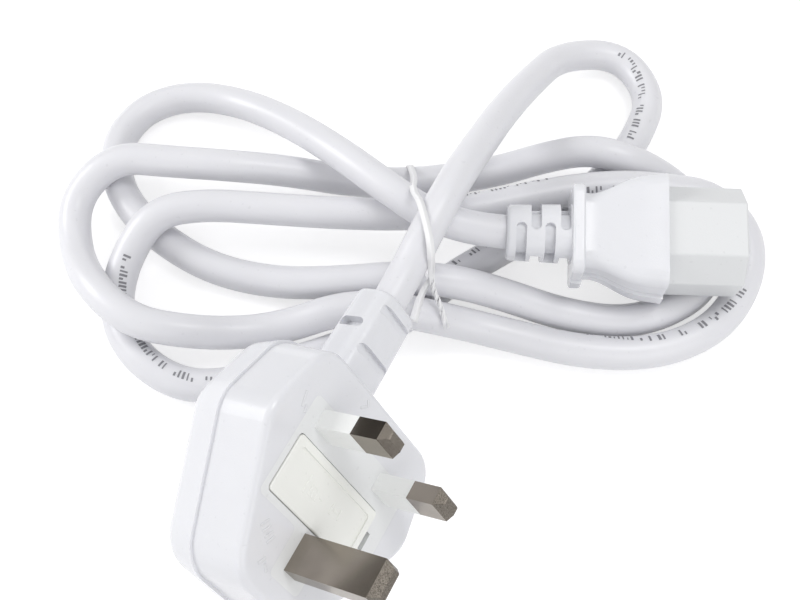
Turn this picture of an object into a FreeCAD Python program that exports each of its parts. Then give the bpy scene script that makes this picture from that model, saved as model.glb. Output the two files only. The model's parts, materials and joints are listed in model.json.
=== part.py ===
import FreeCAD, Part
import math
import os

# A moulded three pin plug on a short mains lead, with the appliance connector at the other end.
# Sizes are millimetres. The plug is drawn in its own frame: x runs from the line pin to the
# neutral pin, y runs towards the earth pin, z runs along the pins, and the face is at z = 0.

V = FreeCAD.Vector

# Pins
PIN_PITCH = 22.23
EARTH_PIN_Y = 22.23
BLADE_WIDTH = 6.35
BLADE_THICKNESS = 4.0
BLADE_LENGTH = 17.7
EARTH_WIDTH = 4.0
EARTH_THICKNESS = 8.0
EARTH_LENGTH = 22.73
TIP_LENGTH = 1.85
TIP_INSET = 1.15
SLEEVE_LENGTH = 9.2
SLEEVE_ROOT = 2.0
SLEEVE_WALL = 0.8
SHANK_LONG = 4.4
SHANK_SHORT = 2.4

# Body outline at the face, and how it changes towards the back
FACE_HALF_WIDTH = 26.2
CORD_HALF_WIDTH = 21.4
CORD_EDGE_Y = -12.6
SHOULDER_Y = 5.6
EARTH_EDGE_Y = 33.3
EARTH_HALF_WIDTH = 11.3
CORD_CORNER_R = 7.0
SHOULDER_R = 8.0
EARTH_CORNER_R = 9.0
RIDGE_DEPTH = 13.0
FRONT_DRAFT = 0.5
RIDGE_LEDGE = 0.6
BODY_DEPTH = 24.6
BACK_INSET = 2.0
FACE_EDGE_R = 1.6
BACK_EDGE_R = 6.5

# Cord, its cores and the sleeve of the body that guards it
CORD_D = 8.0
CORE_R = 1.1
CORE_SPREAD = 1.6
CORE_DROP = 1.7
CORE_RISE = 1.0
CORD_GRIP = 6.0
CORD_LEAD = 5.0
GUARD_Z = -15.5
GUARD_END_Y = -37.4
GUARD_ROOT = 10.0
GUARD_WIDTH = 14.5
GUARD_THICKNESS = 12.0
GUARD_CORNER_R = 4.5
GUARD_TAPER = 0.93
GUARD_RIM_R = 1.0
SLOT_WIDTH = 2.4
SLOT_FLOOR = 4.6
FRONT_SLOTS = (0.17, 0.59)
SIDE_SLOTS = (0.38, 0.8)
FRONT_SLOT_LENGTH = 11.6
SIDE_SLOT_LENGTH = 6.4

# Cartridge fuse
FUSE_LENGTH = 25.4
CAP_R = 3.15
CAP_LENGTH = 5.6
CAP_WALL = 0.3
TUBE_R = CAP_R - CAP_WALL
TUBE_SEAT = 1.2

# Fuse carrier: a lid in the face with a cradle for the fuse
BAY_X = 1.75
BAY_Y = 10.85
FUSE_END_ROOM = 1.75
LID_LENGTH = FUSE_LENGTH + 2 * FUSE_END_ROOM
LID_WIDTH = 12.3
LID_THICKNESS = 2.6
LID_PROUD = 0.4
LID_EDGE_R = 0.3
LID_CORNER_R = 0.9
LID_PANEL_MARGIN = 1.7
LID_PANEL_DEPTH = 0.35
FUSE_LID_GAP = 0.25
FUSE_Z = -(LID_THICKNESS + FUSE_LID_GAP + CAP_R)
CRADLE_GAP = 0.05
CRADLE_WALL = 2.0
CRADLE_WRAP = 2.4
CRADLE_PINCH = 0.9
CRADLE_END_GAP = 1.1
CRADLE_HALF_LENGTH = FUSE_LENGTH / 2 - CAP_LENGTH - CRADLE_END_GAP
CRADLE_HALF_WIDTH = TUBE_R + CRADLE_GAP + CRADLE_WALL
CRADLE_DEPTH = CRADLE_WRAP - FUSE_Z
CRADLE_MOUTH = 2 * TUBE_R - CRADLE_PINCH

# Sprung clips, straps and crimps
SHEET = 0.5
CLIP_GAP = 0.3
CLIP_LENGTH = 4.6
CLIP_RISE = 1.6
CLIP_FLOOR_GAP = 1.35
STRAP_T = 0.8
STRAP_MARGIN = 1.0
TAIL_WIDTH = 2.4
CRIMP_R = 1.7
CRIMP_LENGTH = 4.0
CRIMP_LEAD = 3.4
SHEATH_LEAD = 4.0
SHANK_PROUD = 0.4
LOAD_CRIMP_SETBACK = 4.65

# Pin carrier, the hard inner moulding that shows in the face, with the bay for the fuse
BAY_CLEARANCE = 0.2
BAY_DEPTH = CAP_R - FUSE_Z + CLIP_FLOOR_GAP + SHEET
PRY_NOTCH = 4.0
PRY_NOTCH_DEPTH = 1.3
CARRIER_WALL = 1.4
CARRIER_FLOOR = 2.0
CARRIER_CORNER_R = 1.2
BLADE_SURROUND = 1.3
TONGUE_WALL = 2.8
TONGUE_END_WALL = 2.37
CARRIER_DEPTH = BAY_DEPTH + CARRIER_FLOOR
CARRIER_HALF_WIDTH = BAY_X + LID_LENGTH / 2 + BAY_CLEARANCE + CARRIER_WALL
CARRIER_LOW_Y = -BLADE_THICKNESS / 2 - BLADE_SURROUND
CARRIER_HIGH_Y = BAY_Y + LID_WIDTH / 2 + BAY_CLEARANCE + CARRIER_WALL
TONGUE_HALF_WIDTH = EARTH_WIDTH / 2 + TONGUE_WALL
TONGUE_Y = EARTH_PIN_Y + EARTH_THICKNESS / 2 + TONGUE_END_WALL

# Where each core passes inside the body: its x, and how far in from the cord edge
LINE_PASS_X = 0.6
LINE_PASS_IN = 4.0
NEUTRAL_PASS_X = 3.2
NEUTRAL_PASS_IN = -0.6
EARTH_PASS_X = -3.2
EARTH_PASS_IN = 6.5

# Appliance connector, drawn along its own x from the cord end to the mouth
C_GUARD_LENGTH = 15.0
C_GUARD_WIDTH = 13.3
C_GUARD_THICKNESS = 12.0
C_SLOT_START = -0.9
C_SLOTS_FAR = (0.45, 0.9)
C_SLOTS_NEAR = (0.225, 0.665)
FLANGE_LENGTH = 2.8
FLANGE_HALF_WIDTH = 10.8
FLANGE_HALF_HEIGHT = 7.4
FLANGE_CORNER_R = 2.6
FLANGE_EDGE_R = 0.6
GRIP_LENGTH = 18.6
GRIP_SECTIONS = [
    (-0.04, 9.3, 6.8), (0.12, 9.1, 6.6), (0.25, 9.8, 6.8),
    (0.5, 12.0, 7.6), (0.75, 13.3, 8.2), (1.0, 13.8, 8.6),
]
GRIP_CORNER_R = 3.4
PARTING_LEDGE = 0.8
PARTING_HEIGHT = 0.8
NOSE_START = C_GUARD_LENGTH + FLANGE_LENGTH + GRIP_LENGTH
NOSE_LENGTH = 17.9
NOSE_HALF_WIDTH = 11.8
NOSE_HALF_HEIGHT = 7.8
NOSE_CHAMFER = 5.5
NOSE_CORNER_R = 0.8
NOSE_EDGE_R = 0.5
NOSE_ROOT = 8.0
NOSE_ROOT_INSET = 2.6
CONTACT_PITCH = 14.0
CONTACT_Z = -1.6
EARTH_CONTACT_Z = 2.4
MOUTH_WIDTH = 2.5
MOUTH_HEIGHT = 4.6
MOUTH_LIP = 1.4
CONTACT_WIDTH = 3.6
CONTACT_HEIGHT = 5.2
CONTACT_LENGTH = 12.0
CONTACT_SHEET = 0.4
CONTACT_TAIL = 4.0

# How the plug and the connector lie. The plug leans on the rounded edge of its back.
LEAN = 32.0
PLUG_AT = V(0.85, -1.3, 0)
CONNECTOR_AT = V(1.7, 69.4, 18.9)
CONNECTOR_HEADING = 24.2
CONNECTOR_PITCH = 2.0
CONNECTOR_TILT = 15.5

# Middle of the cord from the plug to the connector, above the surface that both lie on
CORD_ROUTE = [
    (-12.0, 57.0, 30.3), (-12.3, 70.0, 30.9), (-12.8, 82.5, 27.2),
    (-13.9, 102.0, 20.0), (-13.6, 120.5, 12.5), (-11.9, 135.8, 7.0), (1.9, 145.9, 4.6),
    (15.2, 136.2, 4.2), (16.6, 121.5, 4.2), (15.0, 108.6, 4.2),
    (10.4, 94.4, 4.2), (4.1, 81.2, 4.2), (-2.2, 70.2, 4.2), (-8.0, 59.5, 4.2),
    (-12.2, 45.5, 4.2), (-20.5, 33.0, 4.2), (-30.2, 22.2, 4.2), (-38.5, 12.0, 4.2),
    (-48.2, 5.9, 4.2), (-59.0, 5.6, 4.2), (-69.4, 9.8, 4.2), (-76.6, 17.2, 4.2),
    (-79.6, 27.5, 7.6), (-77.4, 38.5, 13.6), (-68.3, 46.2, 13.0), (-55.5, 52.3, 12.2),
    (-40.2, 58.8, 12.2), (-25.9, 65.7, 12.2), (-16.4, 71.3, 12.2), (-8.3, 76.9, 12.2),
    (0.1, 84.6, 12.2), (9.5, 92.4, 12.4), (20.2, 98.8, 13.2), (30.5, 103.4, 12.6),
    (40.6, 106.4, 12.8), (51.9, 104.0, 8.2), (56.6, 94.5, 5.0), (55.8, 81.2, 4.2),
    (50.0, 70.3, 4.2), (40.9, 62.2, 4.2), (27.9, 56.3, 4.2), (13.9, 53.1, 4.2),
    (1.6, 49.6, 6.0), (-6.3, 44.6, 11.5), (-15.0, 41.6, 13.0), (-25.5, 36.8, 11.4),
    (-36.0, 29.4, 5.5), (-45.3, 21.9, 6.5), (-54.9, 14.6, 11.5), (-66.0, 10.9, 13.0),
    (-79.5, 14.6, 12.4), (-92.5, 23.6, 6.0), (-100.8, 35.6, 7.6), (-95.8, 47.8, 13.4),
    (-83.5, 53.3, 12.6), (-69.8, 59.6, 12.0), (-57.3, 67.5, 8.0), (-44.5, 73.7, 4.5),
    (-31.2, 78.8, 5.4), (-20.5, 86.0, 5.4), (-10.9, 95.0, 4.2), (-2.3, 101.8, 7.0),
    (8.0, 105.8, 12.4), (18.1, 107.8, 12.4), (27.2, 111.2, 6.5), (36.0, 109.4, 4.2),
    (44.8, 100.6, 4.2), (48.2, 88.2, 4.2), (43.6, 77.2, 4.2), (34.2, 68.0, 4.2),
    (20.3, 63.6, 4.2), (7.0, 60.7, 7.0), (-4.0, 55.8, 12.2), (-15.8, 50.9, 12.4),
    (-29.5, 45.0, 8.0), (-44.8, 39.2, 4.2), (-59.9, 35.6, 4.2), (-73.7, 36.6, 4.2),
    (-86.5, 40.1, 4.2), (-97.0, 46.9, 4.2), (-103.8, 57.8, 4.2), (-103.2, 69.8, 4.2),
    (-95.2, 79.0, 4.2), (-81.4, 82.6, 5.5), (-63.0, 78.6, 12.0), (-44.0, 71.5, 19.0),
    (-27.0, 66.2, 21.0), (-16.2, 64.2, 20.6),
]

# Twist tie: its loop is a belt round the strands, drawn as circles (along, height, radius) in
# an upright plane that starts at one point and heads towards another
TIE_FROM = V(-28.6, 79.6, 0)
TIE_TOWARDS = V(-11.6, 56.9, 0)
TIE_WIDTH = 2.6
TIE_T = 0.5
TIE_LOOP = [(-0.9, 5.4, 4.45), (13.4, 12.2, 4.45), (37.5, 23.6, 1.2), (33.0, 30.2, 4.7), (22.2, 30.2, 4.7)]
TIE_KNOT_R = 1.5
TIE_KNOT = [(-5.0, 50.2, 23.7), (-4.2, 47.2, 22.8), (-3.4, 44.5, 21.8)]
TIE_TAILS = [
    [(-3.8, 46.0, 22.4), (-4.2, 42.3, 20.6), (-4.8, 39.5, 17.2), (-5.0, 37.6, 13.6)],
    [(-3.6, 45.4, 22.0), (-1.6, 43.4, 20.4), (0.4, 42.2, 17.4), (1.9, 41.6, 13.4)],
]


def box(x0, x1, y0, y1, z0, z1):
    "Block between two corners."
    return Part.makeBox(x1 - x0, y1 - y0, z1 - z0, V(x0, y0, z0))


def rod(radius, length, base, direction):
    "Round bar from its base point."
    return Part.makeCylinder(radius, length, base, direction)


def arc_at(before, corner, after, reach):
    "Tangent arc that rounds a corner, starting `reach` away from it on both sides."
    to_before = (before - corner).normalize()
    to_after = (after - corner).normalize()
    half_turn = (math.pi - to_before.getAngle(to_after)) / 2
    radius = reach / math.tan(half_turn)
    inward = (to_before + to_after).normalize()
    middle = corner + inward * (math.hypot(radius, reach) - radius)
    return corner + to_before * reach, middle, corner + to_after * reach, radius


def rounded_outline(points, radii, z):
    "Closed wire through the corner points, each rounded to its radius."
    corners = [V(x, y, z) for x, y in points]
    edges = []
    ends = []
    for i, corner in enumerate(corners):
        before, after = corners[i - 1], corners[(i + 1) % len(corners)]
        half_turn = (math.pi - (before - corner).getAngle(after - corner)) / 2
        start, middle, end, _ = arc_at(before, corner, after, radii[i] * math.tan(half_turn))
        edges.append(Part.Arc(start, middle, end).toShape())
        ends.append((start, end))
    sides = []
    for i in range(len(corners)):
        sides.append(Part.LineSegment(ends[i - 1][1], ends[i][0]).toShape())
    ordered = []
    for side, arc in zip(sides, edges):
        ordered += [side, arc]
    return Part.Wire(ordered)


def prism(points, radii, z0, z1):
    "Rounded outline drawn up from z0 to z1."
    face = Part.Face(rounded_outline(points, radii, z0))
    return face.extrude(V(0, 0, z1 - z0))


def rectangle(half_x, half_y, x=0.0, y=0.0):
    "Corners of a rectangle about a point."
    x0, x1, y0, y1 = x - half_x, x + half_x, y - half_y, y + half_y
    return [(x0, y0), (x1, y0), (x1, y1), (x0, y1)]


def grown(points, distance):
    "Corners of an anticlockwise outline moved outwards by a distance."
    moved = []
    for i, (x, y) in enumerate(points):
        ax, ay = points[i - 1]
        bx, by = points[(i + 1) % len(points)]
        before = V(y - ay, ax - x, 0).normalize()
        after = V(by - y, x - bx, 0).normalize()
        share = distance / (1 + before.dot(after))
        moved.append((x + (before.x + after.x) * share, y + (before.y + after.y) * share))
    return moved


def edges_on(shape, axis, level):
    "Edges that lie whole in the plane where one coordinate has a given value."
    found = []
    for edge in shape.Edges:
        if all(abs(getattr(vertex.Point, axis) - level) < 1e-4 for vertex in edge.Vertexes):
            if abs(getattr(edge.CenterOfMass, axis) - level) < 1e-4:
                found.append(edge)
    return found


def path_wire(points, share=0.45):
    "Straight runs joined by tangent arcs that take a share of the shorter run, with their radii."
    edges = []
    radii = []
    at = points[0]
    for before, corner, after in zip(points, points[1:], points[2:]):
        shorter = min((before - corner).Length, (after - corner).Length)
        start, middle, end, radius = arc_at(before, corner, after, share * shorter)
        edges.append(Part.LineSegment(at, start).toShape())
        edges.append(Part.Arc(start, middle, end).toShape())
        radii.append(radius)
        at = end
    edges.append(Part.LineSegment(at, points[-1]).toShape())
    return Part.Wire(edges), radii


def tube(points, radius):
    "Round bar along a path."
    wire, radii = path_wire(points)
    start = (points[1] - points[0]).normalize()
    profile = Part.Wire([Part.Circle(points[0], start, radius).toShape()])
    return wire.makePipeShell([profile], True, False), wire.Length, radii


# Plug body
PLUG_OUTLINE = [
    (-CORD_HALF_WIDTH, CORD_EDGE_Y), (CORD_HALF_WIDTH, CORD_EDGE_Y), (FACE_HALF_WIDTH, SHOULDER_Y),
    (EARTH_HALF_WIDTH, EARTH_EDGE_Y), (-EARTH_HALF_WIDTH, EARTH_EDGE_Y), (-FACE_HALF_WIDTH, SHOULDER_Y),
]
PLUG_RADII = [CORD_CORNER_R, CORD_CORNER_R, SHOULDER_R, EARTH_CORNER_R, EARTH_CORNER_R, SHOULDER_R]


def body_section(growth, z):
    "Outline of the body at one depth."
    return rounded_outline(grown(PLUG_OUTLINE, growth), [r + growth for r in PLUG_RADII], z)


def body_shell():
    "Outer form: a drafted front half, a step at the ridge and a tapering back half."
    front = Part.makeLoft([body_section(FRONT_DRAFT, -RIDGE_DEPTH), body_section(0, 0)], True, True)
    front = front.makeFillet(FACE_EDGE_R, edges_on(front, "z", 0))
    ridge_growth = FRONT_DRAFT + RIDGE_LEDGE
    back_growth = ridge_growth - BACK_INSET
    back_sections = [body_section(back_growth, -BODY_DEPTH), body_section(ridge_growth, -RIDGE_DEPTH)]
    back = Part.makeLoft(back_sections, True, True)
    back = back.makeFillet(BACK_EDGE_R, edges_on(back, "z", -BODY_DEPTH))
    return front.fuse(back)


def guard_section(width, thickness, corner, along):
    "Rounded rectangle across a cord guard, in the yz plane of the guard."
    wire = rounded_outline(rectangle(width / 2, thickness / 2), [corner] * 4, 0)
    turn = FreeCAD.Placement(V(along, 0, 0), FreeCAD.Rotation(V(1, 1, 1), 120))
    wire.Placement = turn
    return wire


def cross_slot(along, length, reach):
    "Slot with round ends across a guard, from its floor out past the surface."
    half = length / 2 - SLOT_WIDTH / 2
    slot = box(along - SLOT_WIDTH / 2, along + SLOT_WIDTH / 2, -half, half, SLOT_FLOOR, reach)
    for y in (-half, half):
        slot = slot.fuse(rod(SLOT_WIDTH / 2, reach - SLOT_FLOOR, V(along, y, SLOT_FLOOR), V(0, 0, 1)))
    return slot


def wrap_slot(along, reach):
    "Slot that starts near the middle of a guard's broad face and runs round its side."
    start = C_SLOT_START + SLOT_WIDTH / 2
    slab = box(along - SLOT_WIDTH / 2, along + SLOT_WIDTH / 2, start, reach, -SLOT_FLOOR / 2, reach)
    slab = slab.fuse(rod(SLOT_WIDTH / 2, reach, V(along, start, 0), V(0, 0, 1)))
    return slab.cut(rod(SLOT_FLOOR, 4 * SLOT_WIDTH, V(along - 2 * SLOT_WIDTH, 0, 0), V(1, 0, 0)))


def cord_guard(length, width, thickness, root):
    "Flexible guard along x from its free end at 0 to its root, before its slots are cut."
    free = guard_section(width * GUARD_TAPER, thickness * GUARD_TAPER, GUARD_CORNER_R * GUARD_TAPER, 0)
    full = guard_section(width, thickness, GUARD_CORNER_R, length)
    inner = guard_section(width, thickness, GUARD_CORNER_R, length + root)
    sleeve = Part.makeLoft([free, full, inner], True, True)
    return sleeve.makeFillet(GUARD_RIM_R, edges_on(sleeve, "x", 0))


def turned(shape, degrees):
    "Copy turned about the guard's own axis."
    copy = shape.copy()
    copy.rotate(V(0, 0, 0), V(1, 0, 0), degrees)
    return copy


def plug_guard():
    "The plug's cord guard, with slots on its broad faces and its sides in turn."
    length = CORD_EDGE_Y - GUARD_END_Y
    guard = cord_guard(length, GUARD_WIDTH, GUARD_THICKNESS, GUARD_ROOT)
    for share in FRONT_SLOTS:
        slot = cross_slot(share * length, FRONT_SLOT_LENGTH, GUARD_THICKNESS)
        guard = guard.cut(slot).cut(turned(slot, 180))
    for share in SIDE_SLOTS:
        slot = turned(cross_slot(share * length, SIDE_SLOT_LENGTH, GUARD_WIDTH), 90)
        guard = guard.cut(slot).cut(turned(slot, 180))
    guard.rotate(V(0, 0, 0), V(0, 0, 1), 90)
    guard.translate(V(0, GUARD_END_Y, GUARD_Z))
    return guard


# Pins and sleeves
def chamfered_blade(half_x, half_y, z0, z1):
    "Blade with its tip drawn in on all four sides."
    shaft = box(-half_x, half_x, -half_y, half_y, z0, z1 - TIP_LENGTH)
    low = rounded_outline(rectangle(half_x, half_y), [0.05] * 4, z1 - TIP_LENGTH)
    high = rounded_outline(rectangle(half_x - TIP_INSET, half_y - TIP_INSET), [0.05] * 4, z1)
    return shaft.fuse(Part.makeLoft([low, high], True, True))


def shank(half_x, half_y, z_top):
    "Narrow inner end of a pin, which goes through the carrier and its strap."
    low = -CARRIER_DEPTH - STRAP_T - SHANK_PROUD
    return box(-half_x, half_x, -half_y, half_y, low, z_top)


def blade_pin(x):
    "Line or neutral pin."
    blade = chamfered_blade(BLADE_WIDTH / 2, BLADE_THICKNESS / 2, SLEEVE_LENGTH, BLADE_LENGTH)
    pin = blade.fuse(shank(SHANK_LONG / 2, SHANK_SHORT / 2, SLEEVE_LENGTH))
    pin.translate(V(x, 0, 0))
    return pin.removeSplitter()


def earth_pin():
    "Earth pin, bare brass all the way."
    blade = chamfered_blade(EARTH_WIDTH / 2, EARTH_THICKNESS / 2, -SLEEVE_ROOT, EARTH_LENGTH)
    pin = blade.fuse(shank(SHANK_SHORT / 2, SHANK_LONG / 2, -SLEEVE_ROOT))
    pin.translate(V(0, EARTH_PIN_Y, 0))
    return pin.removeSplitter()


def pin_sleeve(x):
    "Insulating sleeve on the inner half of a blade pin."
    half_x, half_y = BLADE_WIDTH / 2, BLADE_THICKNESS / 2
    sleeve = box(-half_x, half_x, -half_y, half_y, -SLEEVE_ROOT, SLEEVE_LENGTH)
    sleeve = sleeve.cut(shank(SHANK_LONG / 2, SHANK_SHORT / 2, SLEEVE_LENGTH))
    sleeve.translate(V(x, 0, 0))
    return sleeve


# Fuse, its carrier, and the clips that hold it
def fuse_end(side):
    "Where a cap's middle is along x."
    return BAY_X + side * (FUSE_LENGTH - CAP_LENGTH) / 2


def fuse_tube():
    "Ceramic tube, seated a little way into both caps."
    half = FUSE_LENGTH / 2 - CAP_LENGTH + TUBE_SEAT
    return rod(TUBE_R, 2 * half, V(BAY_X - half, BAY_Y, FUSE_Z), V(1, 0, 0))


def fuse_cap(side):
    "Metal cap at one end of the fuse."
    start = fuse_end(side) - CAP_LENGTH / 2
    return rod(CAP_R, CAP_LENGTH, V(start, BAY_Y, FUSE_Z), V(1, 0, 0)).cut(fuse_tube())


def fuse_carrier():
    "Lid in the face with a snap cradle behind it for the fuse."
    half_x, half_y = LID_LENGTH / 2, LID_WIDTH / 2
    lid = prism(rectangle(half_x, half_y, BAY_X, BAY_Y), [LID_CORNER_R] * 4, -LID_THICKNESS, LID_PROUD)
    lid = lid.makeFillet(LID_EDGE_R, edges_on(lid, "z", LID_PROUD))
    panel = prism(
        rectangle(half_x - LID_PANEL_MARGIN, half_y - LID_PANEL_MARGIN, BAY_X, BAY_Y),
        [LID_CORNER_R] * 4, LID_PROUD - LID_PANEL_DEPTH, LID_PROUD + 1)
    lid = lid.cut(panel)
    cradle = box(
        BAY_X - CRADLE_HALF_LENGTH, BAY_X + CRADLE_HALF_LENGTH,
        BAY_Y - CRADLE_HALF_WIDTH, BAY_Y + CRADLE_HALF_WIDTH, -CRADLE_DEPTH, -LID_THICKNESS)
    start = BAY_X - CRADLE_HALF_LENGTH - 1
    seat = rod(TUBE_R + CRADLE_GAP, 2 * CRADLE_HALF_LENGTH + 2, V(start, BAY_Y, FUSE_Z), V(1, 0, 0))
    mouth = box(start, start + 2 * CRADLE_HALF_LENGTH + 2, BAY_Y - CRADLE_MOUTH / 2, BAY_Y + CRADLE_MOUTH / 2,
                -CRADLE_DEPTH - 1, FUSE_Z)
    return lid.fuse(cradle.cut(seat).cut(mouth)).removeSplitter()


def clip_spring(side):
    "Sprung channel that a cap is pushed into, on the floor of the bay."
    x = fuse_end(side)
    inner = CAP_R + CLIP_GAP
    floor = -BAY_DEPTH
    half, wide = CLIP_LENGTH / 2, inner + SHEET
    outer = box(x - half, x + half, BAY_Y - wide, BAY_Y + wide, floor, FUSE_Z + CLIP_RISE)
    hollow = box(x - CLIP_LENGTH, x + CLIP_LENGTH, BAY_Y - inner, BAY_Y + inner, floor + SHEET, 0)
    half, wide = TAIL_WIDTH / 2, STRAP_T / 2
    tail = box(x - half, x + half, BAY_Y - wide, BAY_Y + wide, -CARRIER_DEPTH, floor)
    return outer.cut(hollow).fuse(tail)


def strap(x0, x1, y0, y1):
    "Flat strap against the back of the carrier."
    return box(x0, x1, y0, y1, -CARRIER_DEPTH - STRAP_T, -CARRIER_DEPTH)


def crimp(x, y):
    "Crimp barrel that leaves a strap towards the cord."
    z = -CARRIER_DEPTH - CRIMP_R
    barrel = rod(CRIMP_R, CRIMP_LENGTH, V(x, y, z), V(0, -1, 0))
    return barrel.cut(rod(CORE_R, CRIMP_LENGTH, V(x, y, z), V(0, -1, 0)))


def line_clip():
    "Clip at the line pin, riveted to it by its strap."
    half = SHANK_LONG / 2 + STRAP_MARGIN
    x = -PIN_PITCH / 2
    low, high = -SHANK_SHORT / 2 - STRAP_MARGIN, SHANK_SHORT / 2 + STRAP_MARGIN
    plate = strap(x - half, x + half, low, high)
    tail_x = fuse_end(-1)
    reach = strap(tail_x - 2 * TAIL_WIDTH, tail_x + TAIL_WIDTH / 2, low, BAY_Y + STRAP_T / 2)
    return clip_spring(-1).fuse(plate).fuse(reach).cut(blade_pin(x)).removeSplitter()


def load_crimp_place():
    "Where the crimp of the line core starts."
    return fuse_end(1) - LOAD_CRIMP_SETBACK, BAY_Y - TAIL_WIDTH


def load_clip():
    "Clip at the far end of the fuse, with the crimp for the line core."
    x, y = load_crimp_place()
    plate = strap(x - CRIMP_R, fuse_end(1) + TAIL_WIDTH / 2, y, BAY_Y + STRAP_T)
    return clip_spring(1).fuse(plate).fuse(crimp(x, y)).removeSplitter()


def pin_crimp(x, y, half_x, half_y, pin):
    "Riveted plate and crimp behind a pin."
    plate = strap(x - half_x, x + half_x, y - half_y, y + half_y)
    return plate.fuse(crimp(x, y - half_y)).cut(pin).removeSplitter()


def neutral_crimp():
    "Crimp behind the neutral pin."
    x = PIN_PITCH / 2
    return pin_crimp(x, 0, SHANK_LONG / 2 + STRAP_MARGIN, SHANK_SHORT / 2 + STRAP_MARGIN, blade_pin(x))


def earth_crimp():
    "Crimp behind the earth pin."
    return pin_crimp(0, EARTH_PIN_Y, SHANK_SHORT / 2 + STRAP_MARGIN, SHANK_LONG / 2 + STRAP_MARGIN, earth_pin())


def core(start, pass_x, pass_in, end_x, end_z):
    "Insulated core from its crimp, past a point in the body, to the end of the cord's sheath."
    z = -CARRIER_DEPTH - CRIMP_R
    x, y = start
    sheath_y = GUARD_END_Y + CORD_GRIP
    path = [V(x, y, z), V(x, y - CRIMP_LENGTH - CRIMP_LEAD, z), V(pass_x, CORD_EDGE_Y + pass_in, z)]
    path += [V(end_x, sheath_y + SHEATH_LEAD, end_z), V(end_x, sheath_y, end_z)]
    return tube(path, CORE_R)[0]


def line_core():
    "Core from the fuse clip."
    return core(load_crimp_place(), LINE_PASS_X, LINE_PASS_IN, 0.0, GUARD_Z - CORE_DROP)


def neutral_core():
    "Core from the neutral pin."
    y = -SHANK_SHORT / 2 - STRAP_MARGIN
    return core((PIN_PITCH / 2, y), NEUTRAL_PASS_X, NEUTRAL_PASS_IN, CORE_SPREAD, GUARD_Z + CORE_RISE)


def earth_core():
    "Core from the earth pin."
    y = EARTH_PIN_Y - SHANK_LONG / 2 - STRAP_MARGIN
    return core((0.0, y), EARTH_PASS_X, EARTH_PASS_IN, -CORE_SPREAD, GUARD_Z + CORE_RISE)


# Mouldings of the plug
def carrier_block():
    "Outer form of the pin carrier."
    outline = [
        (-CARRIER_HALF_WIDTH, CARRIER_LOW_Y), (CARRIER_HALF_WIDTH, CARRIER_LOW_Y),
        (CARRIER_HALF_WIDTH, CARRIER_HIGH_Y), (TONGUE_HALF_WIDTH, CARRIER_HIGH_Y),
        (TONGUE_HALF_WIDTH, TONGUE_Y), (-TONGUE_HALF_WIDTH, TONGUE_Y),
        (-TONGUE_HALF_WIDTH, CARRIER_HIGH_Y), (-CARRIER_HALF_WIDTH, CARRIER_HIGH_Y),
    ]
    return prism(outline, [CARRIER_CORNER_R] * len(outline), -CARRIER_DEPTH, 0)


def pin_carrier(pieces):
    "Hard inner moulding round the pins, with the bay for the fuse."
    half_x, half_y = LID_LENGTH / 2 + BAY_CLEARANCE, LID_WIDTH / 2 + BAY_CLEARANCE
    bay = prism(rectangle(half_x, half_y, BAY_X, BAY_Y), [LID_CORNER_R + BAY_CLEARANCE] * 4, -BAY_DEPTH, 1)
    notch = box(
        BAY_X - half_x - PRY_NOTCH_DEPTH, BAY_X - half_x + 1,
        BAY_Y - PRY_NOTCH / 2, BAY_Y + PRY_NOTCH / 2, -LID_THICKNESS, 1)
    carrier = carrier_block().cut(bay).cut(notch)
    for piece in pieces:
        carrier = carrier.cut(piece)
    return carrier


def plug_body(pieces):
    "Moulded body with its cord guard, closed round everything inside it."
    sheath = V(0, GUARD_END_Y + CORD_GRIP, GUARD_Z)
    body = body_shell().fuse(plug_guard())
    body = body.cut(carrier_block())
    body = body.cut(rod(CORD_D / 2, CORD_GRIP + 1, sheath, V(0, -1, 0)))
    for piece in pieces:
        body = body.cut(piece)
    return body


def plug_pieces():
    "Every piece of the plug, in the plug's own frame."
    line_x, neutral_x = -PIN_PITCH / 2, PIN_PITCH / 2
    metal = {
        "line_pin": blade_pin(line_x),
        "neutral_pin": blade_pin(neutral_x),
        "earth_pin": earth_pin(),
        "fuse_clip_line": line_clip(),
        "fuse_clip_load": load_clip(),
        "neutral_crimp": neutral_crimp(),
        "earth_crimp": earth_crimp(),
    }
    sleeves = {"line_pin_sleeve": pin_sleeve(line_x), "neutral_pin_sleeve": pin_sleeve(neutral_x)}
    cores = {"line_core": line_core(), "neutral_core": neutral_core(), "earth_core": earth_core()}
    fuse = {
        "fuse_carrier": fuse_carrier(),
        "fuse_tube": fuse_tube(),
        "fuse_cap_line": fuse_cap(-1),
        "fuse_cap_load": fuse_cap(1),
    }
    pieces = {
        "plug_body": plug_body(list(metal.values()) + list(cores.values())),
        "pin_carrier": pin_carrier(list(metal.values()) + list(sleeves.values())),
    }
    for group in (fuse, metal, sleeves, cores):
        pieces.update(group)
    return pieces


# Appliance connector
def block_section(half_y, half_z, corner, along):
    "Rounded rectangle across the connector."
    return guard_section(2 * half_y, 2 * half_z, corner, along)


def connector_grip(growth):
    "Waisted grip, wider by a growth."
    sections = []
    for share, half_y, half_z in GRIP_SECTIONS:
        along = NOSE_START - GRIP_LENGTH * (1 - share)
        sections.append(block_section(half_y + growth, half_z, GRIP_CORNER_R, along))
    return Part.makeLoft(sections, True, False)


def connector_guard():
    "The connector's cord guard, with slots that run round its sides in turn."
    guard = cord_guard(C_GUARD_LENGTH, C_GUARD_WIDTH, C_GUARD_THICKNESS, FLANGE_LENGTH)
    for share in C_SLOTS_FAR:
        slot = wrap_slot(share * C_GUARD_LENGTH, C_GUARD_WIDTH)
        guard = guard.cut(slot).cut(turned(slot, 180))
    for share in C_SLOTS_NEAR:
        slot = wrap_slot(share * C_GUARD_LENGTH, C_GUARD_WIDTH).mirror(V(0, 0, 0), V(0, 1, 0))
        guard = guard.cut(slot).cut(turned(slot, 180))
    return guard


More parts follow.
